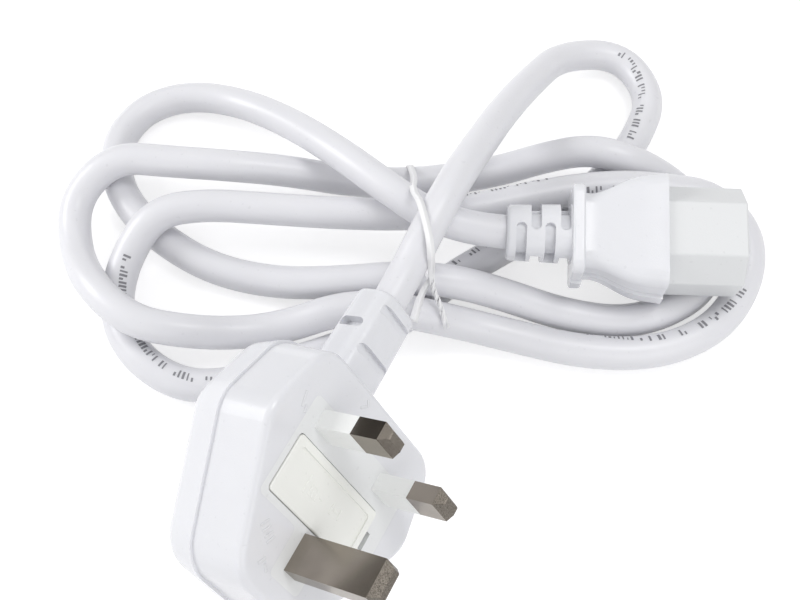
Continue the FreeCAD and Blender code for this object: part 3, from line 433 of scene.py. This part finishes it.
# %% Cord
CORD_D = 8.0 * MM
PLUG_SHIFT = Vector((4.1977, -0.2, 0.0))
CORD_ROUTE = [
    (-12.29, 30.1, 24.23), (-12.29, 41.1, 24.23),
    (-12.0, 57.0, 30.3), (-12.3, 70.0, 30.9), (-12.8, 82.5, 27.2),
    (-13.9, 102.0, 20.0), (-13.6, 120.5, 12.5), (-11.9, 135.8, 7.0), (1.9, 145.9, 4.6),
    (15.2, 136.2, 4.2), (16.6, 121.5, 4.2), (15.0, 108.6, 4.2),
    (10.4, 94.4, 4.2), (4.1, 81.2, 4.2), (-2.2, 70.2, 4.2), (-8.0, 59.5, 4.2),
    (-12.2, 45.5, 4.2), (-20.5, 33.0, 4.2), (-30.2, 22.2, 4.2), (-38.5, 12.0, 4.2),
    (-48.2, 5.9, 4.2), (-59.0, 5.6, 4.2), (-69.4, 9.8, 4.2), (-76.6, 17.2, 4.2),
    (-79.6, 27.5, 7.6), (-77.4, 38.5, 13.6), (-68.3, 46.2, 13.0), (-55.5, 52.3, 12.2),
    (-40.2, 58.8, 12.2), (-25.9, 65.7, 12.2), (-16.4, 71.3, 12.2), (-8.3, 76.9, 12.2),
    (0.1, 84.6, 12.2), (9.5, 92.4, 12.4), (20.2, 98.8, 13.2), (30.5, 103.4, 12.6),
    (40.6, 106.4, 12.8), (51.9, 104.0, 8.2), (56.6, 94.5, 5.0), (55.8, 81.2, 4.2),
    (50.0, 70.3, 4.2), (40.9, 62.2, 4.2), (27.9, 56.3, 4.2), (13.9, 53.1, 4.2),
    (1.6, 49.6, 6.0), (-6.3, 44.6, 11.5), (-15.0, 41.6, 13.0), (-25.5, 36.8, 11.4),
    (-36.0, 29.4, 5.5), (-45.3, 21.9, 6.5), (-54.9, 14.6, 11.5), (-66.0, 10.9, 13.0),
    (-79.5, 14.6, 12.4), (-92.5, 23.6, 6.0), (-100.8, 35.6, 7.6), (-95.8, 47.8, 13.4),
    (-83.5, 53.3, 12.6), (-69.8, 59.6, 12.0), (-57.3, 67.5, 8.0), (-44.5, 73.7, 4.5),
    (-31.2, 78.8, 5.4), (-20.5, 86.0, 5.4), (-10.9, 95.0, 4.2), (-2.3, 101.8, 7.0),
    (8.0, 105.8, 12.4), (18.1, 107.8, 12.4), (27.2, 111.2, 6.5), (36.0, 109.4, 4.2),
    (44.8, 100.6, 4.2), (48.2, 88.2, 4.2), (43.6, 77.2, 4.2), (34.2, 68.0, 4.2),
    (20.3, 63.6, 4.2), (7.0, 60.7, 7.0), (-4.0, 55.8, 12.2), (-15.8, 50.9, 12.4),
    (-29.5, 45.0, 8.0), (-44.8, 39.2, 4.2), (-59.9, 35.6, 4.2), (-73.7, 36.6, 4.2),
    (-86.5, 40.1, 4.2), (-97.0, 46.9, 4.2), (-103.8, 57.8, 4.2), (-103.2, 69.8, 4.2),
    (-95.2, 79.0, 4.2), (-81.4, 82.6, 5.5), (-63.0, 78.6, 12.0), (-44.0, 71.5, 19.0),
    (-27.0, 66.2, 21.0), (-16.2, 64.2, 20.6), (-2.86, 67.35, 18.73), (7.17, 71.86, 19.11),
]

cord_data = bpy.data.curves.new("mains_cord", "CURVE")
cord_data.dimensions = "3D"
line = cord_data.splines.new("NURBS")
line.points.add(len(CORD_ROUTE) - 1)
for point, place in zip(line.points, CORD_ROUTE):
    point.co = (*((Vector(place) + PLUG_SHIFT) * MM), 1.0)
line.order_u = 3
line.use_endpoint_u = True
line.resolution_u = 10
cord_data.bevel_depth = CORD_D / 2
cord_data.bevel_resolution = 7
cord_data.use_fill_caps = True
cord = bpy.data.objects.new("mains_cord", cord_data)
bpy.context.collection.objects.link(cord)
cord_data.materials.append(cord_white)


# %% [markdown]
# The tie is a flat white strip with a wire inside it, wound round the loops and twisted
# together in front. It is so thin that the CAD model can only stand in for it, so it is swept
# here: a small cross-section, with the wire as a ridge in its middle, is carried along a line.
# The line of the loop is the one that a belt takes round a set of rollers, where each roller is
# a strand of the cord that the strip lies on.

# %% Sweep a section along a line
def sweep(bm, points, outward, section, turns=None, closed=False):
    "Carry a section, given as (across, out) in mm, along points in mm, with a direction for out at each."
    rings = []
    count = len(points)
    for i, point in enumerate(points):
        before = points[i - 1] if closed or i else points[0]
        after = points[(i + 1) % count] if closed or i < count - 1 else points[-1]
        ahead = (after - before).normalized()
        out = (outward[i] - ahead * outward[i].dot(ahead)).normalized()
        if turns:
            out = Matrix.Rotation(turns[i], 3, ahead) @ out
        across = ahead.cross(out)
        rings.append([bm.verts.new((point + across * a + out * b) * MM) for a, b in section])
    last = count if closed else count - 1
    for i in range(last):
        one, two = rings[i], rings[(i + 1) % count]
        for j in range(len(section)):
            k = (j + 1) % len(section)
            bm.faces.new((one[j], one[k], two[k], two[j]))
    if not closed:
        bm.faces.new(rings[0][::-1])
        bm.faces.new(rings[-1])


def finished(bm, name, material, smooth=True):
    "Turn a bmesh into an object at the origin with its faces pointing outwards."
    bmesh.ops.recalc_face_normals(bm, faces=bm.faces)
    for face in bm.faces:
        face.smooth = smooth
    mesh = bpy.data.meshes.new(name)
    bm.to_mesh(mesh)
    bm.free()
    mesh.materials.append(material)
    thing = bpy.data.objects.new(name, mesh)
    bpy.context.collection.objects.link(thing)
    return thing


# %% Belt line round rollers
def belt(rollers, lift, step=math.radians(12)):
    "Points and outward directions of a belt round (along, height, radius) rollers, in their plane."
    leave = []
    for (x0, y0, r0), (x1, y1, r1) in zip(rollers, rollers[1:] + rollers[:1]):
        way = math.atan2(y1 - y0, x1 - x0)
        leave.append(way - math.acos((r0 - r1) / math.hypot(x1 - x0, y1 - y0)))
    line = []
    for i, (x, y, r) in enumerate(rollers):
        start, end = leave[i - 1], leave[i]
        while end < start:
            end += math.tau
        steps = max(1, math.ceil((end - start) / step))
        for k in range(steps + 1):
            a = start + (end - start) * k / steps
            c, s = math.cos(a), math.sin(a)
            line.append((x + (r + lift) * c, y + (r + lift) * s, c, s))
    return line


def evenly(line, gap):
    "The same closed line with points about a gap apart on its straight stretches too."
    dense = []
    for a, b in zip(line, line[1:] + line[:1]):
        parts = max(1, math.ceil(math.hypot(b[0] - a[0], b[1] - a[1]) / gap))
        dense += [tuple(p + (q - p) * k / parts for p, q in zip(a, b)) for k in range(parts)]
    return dense


# %% Twist tie
UP = Vector((0, 0, 1))
TIE_FROM = Vector((-30.0, 82.0, 0.0)) + PLUG_SHIFT
TIE_HEADING = Vector((21.0, -31.5, 0.0)).normalized()
TIE_SIDE = TIE_HEADING.cross(UP)
TIE_ROLLERS = [(1.9, 5.4, 4.3), (16.1, 12.2, 4.3), (40.3, 21.6, 0.7), (35.7, 29.2, 4.5), (28.9, 29.4, 4.5)]
KNOT_AT = (40.3, 21.6)
KNOT_TWIST = 1.1
KNOT_REACH = 5.0
# The strip's section: flat underneath, with the wire as a ridge on top
STRIP = [
    (-0.85, 0.0), (0.85, 0.0), (0.85, 0.14), (0.25, 0.18),
    (0.14, 0.38), (-0.14, 0.38), (-0.25, 0.18), (-0.85, 0.14),
]
# The strip bows sideways by this much over the top of the strands
TIE_BOW = 1.6
BOW_MIDDLE, BOW_REACH = 21.0, 11.0
BOW_FROM_HEIGHT, BOW_RISE = 8.0, 16.0

bm = bmesh.new()
points, outs, turns = [], [], []
for along, height, a, b in evenly(belt(TIE_ROLLERS, 0.0), 2.0):
    from_knot = math.hypot(along - KNOT_AT[0], height - KNOT_AT[1])
    raised = min(1.0, max(0.0, (height - BOW_FROM_HEIGHT) / BOW_RISE))
    aside = TIE_BOW * math.exp(-((along - BOW_MIDDLE) / BOW_REACH) ** 2) * raised
    points.append(TIE_FROM + TIE_HEADING * along + TIE_SIDE * aside + UP * height)
    outs.append(TIE_HEADING * a + UP * b)
    turns.append(KNOT_TWIST * math.exp(-(from_knot / KNOT_REACH) ** 2))
sweep(bm, points, outs, STRIP, turns=turns, closed=True)


def rounded(spots, parts=4):
    "A smooth line that starts and ends on the first and last spots and bends past the others."
    line = [spots[0]]
    for i, (a, b, c) in enumerate(zip(spots, spots[1:], spots[2:])):
        start = a if i == 0 else (a + b) / 2
        end = c if i == len(spots) - 3 else (b + c) / 2
        for k in range(1, parts + 1):
            t = k / parts
            line.append(start * (1 - t) ** 2 + b * 2 * t * (1 - t) + end * t ** 2)
    return line


ROPE = [Vector(p) + PLUG_SHIFT for p in (
    (-8.3, 50.6, 24.6), (-7.4, 48.4, 21.4), (-6.3, 47.4, 18.8),
    (-4.4, 46.4, 17.0), (-2.4, 44.8, 15.2), (-0.6, 43.3, 12.4))]
FLAP = [Vector(p) + PLUG_SHIFT for p in (
    (-7.6, 48.9, 21.6), (-8.4, 47.2, 19.6), (-8.3, 44.4, 18.0), (-7.8, 41.6, 17.2), (-7.3, 39.4, 16.2))]
ROPE_TURN = 0.5
ROPE_RADIUS = 0.32
FLAP_OUT = UP * 0.8 - TIE_SIDE * 0.6
FLAP_TURN, FLAP_TURN_STEP = -0.4, 0.05
rope_strip = [(a * 0.6, b * 0.9) for a, b in STRIP]
flap_strip = [(a * 1.15, b) for a, b in STRIP]
rope_axis = (ROPE[-1] - ROPE[0]).normalized()
rope_line = rounded(ROPE, 8)
for phase in (0.0, math.pi):
    outs = [Matrix.Rotation(phase + k * ROPE_TURN, 3, rope_axis) @ TIE_SIDE for k in range(len(rope_line))]
    sweep(bm, [p + o * ROPE_RADIUS for p, o in zip(rope_line, outs)], outs, rope_strip)
flap_line = rounded(FLAP, 5)
flap_turns = [FLAP_TURN + FLAP_TURN_STEP * k for k in range(len(flap_line))]
sweep(bm, flap_line, [FLAP_OUT for _ in flap_line], flap_strip, turns=flap_turns)
tie = finished(bm, "tie_strip", tie_white)
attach(tie, "plug")
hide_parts("twist_tie")
print("tie faces:", len(tie.data.polygons))


# %% [markdown]
# The pins of the CAD model have knife sharp edges. On real ones the plating rounds every edge by
# about a tenth of a millimetre, and that thin round catches the light as a bright line. Each pin
# is copied, its flat sides are joined into single faces, and its edges get a small bevel.

# %% Pins with soft edges
JOIN_WITHIN = 0.25
NO_LENGTH = 0.01
FLAT_WITHIN = math.radians(6.0)
SHARP_OVER = math.radians(20)
SMALL_FACE = 2e-6
PIN_ROUND = 0.12


def softened(name, radius_mm):
    "A copy of a node with every sharp edge rounded, which takes the node's place."
    bm = bmesh.new()
    bm.from_mesh(nodes[name].data)
    bmesh.ops.remove_doubles(bm, verts=bm.verts, dist=JOIN_WITHIN * MM)
    bmesh.ops.dissolve_degenerate(bm, dist=NO_LENGTH * MM, edges=bm.edges)
    bmesh.ops.dissolve_limit(bm, angle_limit=FLAT_WITHIN, verts=bm.verts, edges=bm.edges)
    sharp = [e for e in bm.edges if len(e.link_faces) == 2 and e.calc_face_angle() > SHARP_OVER]
    bmesh.ops.bevel(
        bm, geom=sharp, offset=radius_mm * MM, segments=2, profile=0.5, affect="EDGES", clamp_overlap=True)
    for face in bm.faces:
        face.smooth = face.calc_area() < SMALL_FACE
    mesh = bpy.data.meshes.new(name + "_plated")
    bm.to_mesh(mesh)
    bm.free()
    mesh.materials.append(nickel)
    pin = bpy.data.objects.new(name + "_plated", mesh)
    bpy.context.collection.objects.link(pin)
    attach(pin, "plug")
    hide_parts(name)
    return pin


for name in ("line_pin", "neutral_pin", "earth_pin"):
    print(name, "faces:", len(softened(name, PIN_ROUND).data.polygons))


# %% [markdown]
# Moulded parts carry small raised marks where the mould was engraved. They are a tenth of a
# millimetre high and show only by the light on their edges. Here they are plain bars, with their
# sides drawn in a little as in a real mould. A ray is sent at the surface to find where each one
# stands, so that none floats or sinks.

# %% Raised marks
PLUG_AXES = Matrix((
    (-math.sin(PIN_LEAN), 0, math.cos(PIN_LEAN)), (0, -1, 0), (math.cos(PIN_LEAN), 0, math.sin(PIN_LEAN))))
PLUG_FACE = Vector((0.85, -1.3, 32.4458)) + PLUG_SHIFT
BAR_HEIGHT = 0.14
BAR_SUNK = 0.10
BAR_DRAFT = 0.10
BAR_SHOULDER, SHOULDER_DRAFT = 0.6, 0.02
LOOK_FROM = 12.0


def surface_of(name):
    bm = bmesh.new()
    bm.from_mesh(nodes[name].data)
    tree = BVHTree.FromBMesh(bm)
    bm.free()
    return tree


def raised_bars(name, node, body, material, bars, axes, origin, down):
    "Bars given as (x, y, length, width, turn in degrees) on one side of a node."
    skin = surface_of(node)
    bm = bmesh.new()
    for x, y, length, width, turn in bars:
        start = origin + axes @ Vector((x, y, 0)) - down * LOOK_FROM
        hit, normal, _, _ = skin.ray_cast(start * MM, down)
        if hit is None:
            print("no surface under a mark of", name)
            continue
        if normal.dot(down) > 0:
            normal = -normal
        along = axes @ Vector((math.cos(math.radians(turn)), math.sin(math.radians(turn)), 0))
        along = (along - normal * along.dot(normal)).normalized()
        across = normal.cross(along)
        rows = []
        steps = ((-BAR_SUNK, 0), (BAR_HEIGHT * BAR_SHOULDER, SHOULDER_DRAFT), (BAR_HEIGHT, BAR_DRAFT))
        for rise, inset in steps:
            half, wide = length / 2 - inset, width / 2 - inset
            rows.append([bm.verts.new(hit + (along * i * half + across * j * wide + normal * rise) * MM)
                         for i, j in ((-1, -1), (1, -1), (1, 1), (-1, 1))])
        for low, high in zip(rows, rows[1:]):
            for k in range(4):
                bm.faces.new((low[k], low[(k + 1) % 4], high[(k + 1) % 4], high[k]))
        bm.faces.new(rows[-1])
        bm.faces.new(rows[0][::-1])
    marks = finished(bm, name, material, smooth=False)
    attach(marks, body)
    print(name, "faces:", len(marks.data.polygons))
    return marks


pins_way = PLUG_AXES @ Vector((0, 0, 1))
raised_bars(
    "face_marks", "plug_body", "plug", body_white,
    [(20.1, -0.4, 0.6, 3.2, 20), (18.6, 0.9, 0.6, 1.6, 20),
     (5.6, -8.7, 1.8, 0.6, 40), (5.0, -10.0, 0.6, 1.6, 40),
     (12.4, 22.1, 0.5, 2.2, -25), (11.2, 22.7, 0.5, 2.2, -25),
     (10.0, 23.2, 0.5, 2.2, -25), (8.9, 23.7, 0.5, 2.2, -25),
     (8.1, 27.7, 2.0, 0.6, 60), (6.4, 28.2, 0.6, 2.0, 60)],
    PLUG_AXES, PLUG_FACE, -pins_way)
raised_bars(
    "lid_marks", "fuse_carrier", "fuse_drawer", lid_ivory,
    [(8.2, 11.0, 0.5, 3.8, 0), (6.6, 11.4, 0.5, 2.2, 0), (5.5, 11.4, 0.5, 2.2, 0),
     (4.4, 11.4, 0.5, 2.2, 0), (3.0, 11.2, 1.2, 0.5, 0), (-0.9, 10.9, 0.5, 2.6, 0),
     (-2.2, 10.9, 1.4, 0.5, 0), (-3.6, 10.9, 0.5, 2.2, 0)],
    PLUG_AXES, PLUG_FACE, -pins_way)


# %% [markdown]
# A line of grey print runs along the sheath. From arm's length it reads as a row of small strokes,
# so it is made of plain ticks in uneven groups. It turns slowly round the cord and shows only
# where it faces up. Geometry Nodes lay it down. They walk along the middle of the cord about a
# millimetre at a time, lay ticks of half the line's height in two rows, curl each to the cord's
# own radius, and turn it to the side that the point asks for. Fixed seeds draw the gaps.

# %% Stretches of the printed line
# Each is where it starts and ends along the cord in mm, and its turn there in degrees
PRINT_STRETCHES = [
    (125, 145, 10, 35), (145, 160, 35, 5), (205, 220, 20, 25), (285, 310, -10, 35), (315, 335, 35, 20),
    (420, 445, -40, -45), (450, 460, 40, 45), (510, 540, -5, 25), (540, 555, 25, 60),
]


def bare_line(source):
    "Points along the middle of a cord, read from its own spline, and how far along each one lies."
    data = source.data.copy()
    data.bevel_depth = 0.0
    data.use_fill_caps = False
    probe = bpy.data.objects.new("probe", data)
    bpy.context.collection.objects.link(probe)
    bpy.context.view_layer.update()
    mesh = bpy.data.meshes.new_from_object(probe.evaluated_get(bpy.context.evaluated_depsgraph_get()))
    points = [v.co.copy() for v in mesh.vertices]
    bpy.data.objects.remove(probe)
    bpy.data.meshes.remove(mesh)
    run = [0.0]
    for a, b in zip(points, points[1:]):
        run.append(run[-1] + (b - a).length)
    return points, run


cord_points, cord_run = bare_line(cord)
print("cord line:", len(cord_points), "points,", round(cord_run[-1], 4), "m")

stretch_mesh = bpy.data.meshes.new("cord_print")
spots, facings, edges = [], [], []
for start, end, turn_at_start, turn_at_end in PRINT_STRETCHES:
    first = len(spots)
    for i, (point, run) in enumerate(zip(cord_points, cord_run)):
        mm = run / MM
        if not start <= mm <= end:
            continue
        turn = turn_at_start + (turn_at_end - turn_at_start) * (mm - start) / (end - start)
        ahead = (cord_points[i + 1] - cord_points[i - 1]).normalized()
        top = (UP - ahead * ahead.z).normalized()
        spots.append(point)
        facings.append(Matrix.Rotation(math.radians(turn), 3, ahead) @ top)
    edges += [(k, k + 1) for k in range(first, len(spots) - 1)]
stretch_mesh.from_pydata(spots, edges, [])
facing = stretch_mesh.attributes.new("facing", "FLOAT_VECTOR", "POINT")
facing.data.foreach_set("vector", [c for f in facings for c in f])
cord_print = bpy.data.objects.new("cord_print", stretch_mesh)
bpy.context.collection.objects.link(cord_print)


# %% Geometry Nodes that print ticks along a line
INK_LIFT = 0.00003
STROKE_LEAST, STROKE_MOST = 0.00028, 0.00070
GROUP_PACE = 0.31
GROUP_OVER = 0.44
TICK_CHANCE = 0.74
ROW_SEED = 11


def print_tree():
    tree = bpy.data.node_groups.new("print_ticks", "GeometryNodeTree")
    group_socket(tree, "Line", "NodeSocketGeometry")
    group_socket(tree, "Pitch", "NodeSocketFloat", 0.00105)
    group_socket(tree, "Tick height", "NodeSocketFloat", 0.0019)
    group_socket(tree, "Cord radius", "NodeSocketFloat", 0.004)
    group_socket(tree, "Seed", "NodeSocketInt", 4)
    group_socket(tree, "Ink", "NodeSocketMaterial")
    group_socket(tree, "Ticks", "NodeSocketGeometry", outgoing=True)
    n, link = tree.nodes, tree.links.new
    given = n.new("NodeGroupInput")
    result = n.new("NodeGroupOutput")

    def maths(operation, *values):
        node = n.new("ShaderNodeMath")
        node.operation = operation
        for socket, value in zip(node.inputs, values):
            if isinstance(value, (int, float)):
                socket.default_value = value
            else:
                link(value, socket)
        return node.outputs[0]

    curve = n.new("GeometryNodeMeshToCurve")
    link(given.outputs["Line"], curve.inputs["Mesh"])
    walk = n.new("GeometryNodeResampleCurve")
    walk.mode = "LENGTH"
    link(curve.outputs[0], walk.inputs["Curve"])
    link(given.outputs["Pitch"], walk.inputs["Length"])
    # One tick of half the height of the line, curled to the radius of the cord
    sheet = n.new("GeometryNodeMeshGrid")
    sheet.inputs["Vertices X"].default_value = 2
    sheet.inputs["Vertices Y"].default_value = 4
    sheet.inputs["Size X"].default_value = 1.0
    link(maths("MULTIPLY", given.outputs["Tick height"], 0.5), sheet.inputs["Size Y"])
    here = n.new("GeometryNodeInputPosition")
    split = n.new("ShaderNodeSeparateXYZ")
    link(here.outputs[0], split.inputs[0])
    skin = maths("ADD", given.outputs["Cord radius"], INK_LIFT)

    def curled_tick(side):
        "The tick moved up or down by half its own height, so that two of them make a full stroke."
        middle = maths("MULTIPLY", given.outputs["Tick height"], 0.25 * side)
        angle = maths("DIVIDE", maths("ADD", split.outputs[1], middle), skin)
        curled = n.new("ShaderNodeCombineXYZ")
        link(split.outputs[0], curled.inputs[0])
        link(maths("MULTIPLY", maths("SINE", angle), skin), curled.inputs[1])
        link(maths("MULTIPLY", maths("COSINE", angle), skin), curled.inputs[2])
        curl = n.new("GeometryNodeSetPosition")
        link(sheet.outputs["Mesh"], curl.inputs["Geometry"])
        link(curled.outputs[0], curl.inputs["Position"])
        return curl.outputs[0]

    # Which way each one faces
    ahead = n.new("GeometryNodeInputTangent")
    facing = n.new("GeometryNodeInputNamedAttribute")
    facing.data_type = "FLOAT_VECTOR"
    facing.inputs["Name"].default_value = "facing"
    turn = n.new("FunctionNodeAxesToRotation")
    turn.primary_axis = "X"
    turn.secondary_axis = "Z"
    link(ahead.outputs[0], turn.inputs["Primary Axis"])
    link(facing.outputs["Attribute"], turn.inputs["Secondary Axis"])
    # Uneven strokes and gaps between groups
    stroke = n.new("FunctionNodeRandomValue")
    stroke.data_type = "FLOAT"
    stroke.inputs[2].default_value = STROKE_LEAST
    stroke.inputs[3].default_value = STROKE_MOST
    link(given.outputs["Seed"], stroke.inputs["Seed"])
    number = n.new("GeometryNodeInputIndex")
    group_of = n.new("ShaderNodeTexNoise")
    group_of.noise_dimensions = "1D"
    group_of.inputs["Scale"].default_value = 1.0
    link(maths("MULTIPLY", number.outputs[0], GROUP_PACE), group_of.inputs["W"])
    kept = n.new("FunctionNodeCompare")
    kept.data_type = "FLOAT"
    kept.operation = "GREATER_THAN"
    link(group_of.outputs["Fac"], kept.inputs[0])
    kept.inputs[1].default_value = GROUP_OVER
    size = n.new("ShaderNodeCombineXYZ")
    link(stroke.outputs[1], size.inputs[0])
    size.inputs[1].default_value = 1.0
    size.inputs[2].default_value = 1.0
    both_rows = n.new("GeometryNodeJoinGeometry")
    for row, side in enumerate((-1, 1)):
        chance = n.new("FunctionNodeRandomValue")
        chance.data_type = "FLOAT"
        chance.inputs["Seed"].default_value = ROW_SEED + row
        drawn = maths("MULTIPLY", kept.outputs[0], maths("LESS_THAN", chance.outputs[1], TICK_CHANCE))
        place = n.new("GeometryNodeInstanceOnPoints")
        link(walk.outputs[0], place.inputs["Points"])
        link(drawn, place.inputs["Selection"])
        link(curled_tick(side), place.inputs["Instance"])
        link(turn.outputs[0], place.inputs["Rotation"])
        link(size.outputs[0], place.inputs["Scale"])
        link(place.outputs[0], both_rows.inputs[0])
    real = n.new("GeometryNodeRealizeInstances")
    link(both_rows.outputs[0], real.inputs[0])
    inked = n.new("GeometryNodeSetMaterial")
    link(real.outputs[0], inked.inputs["Geometry"])
    link(given.outputs["Ink"], inked.inputs["Material"])
    link(inked.outputs[0], result.inputs[0])
    return tree


def applied_nodes(thing, tree, values):
    "Run a node tree on an object with the given inputs and keep the plain mesh that it makes."
    sockets = {i.name: i.identifier for i in tree.interface.items_tree if i.in_out == "INPUT"}
    layer = thing.modifiers.new("nodes", "NODES")
    layer.node_group = tree
    for name, value in values.items():
        layer[sockets[name]] = value
    bpy.context.view_layer.update()
    mesh = bpy.data.meshes.new_from_object(thing.evaluated_get(bpy.context.evaluated_depsgraph_get()))
    thing.modifiers.remove(layer)
    thing.data = mesh
    return thing


applied_nodes(cord_print, print_tree(), {"Cord radius": CORD_D / 2, "Ink": print_grey})
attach(cord_print, "plug")
print("ticks:", len(cord_print.data.polygons) // 3)

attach(cord, "plug")
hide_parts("cord")
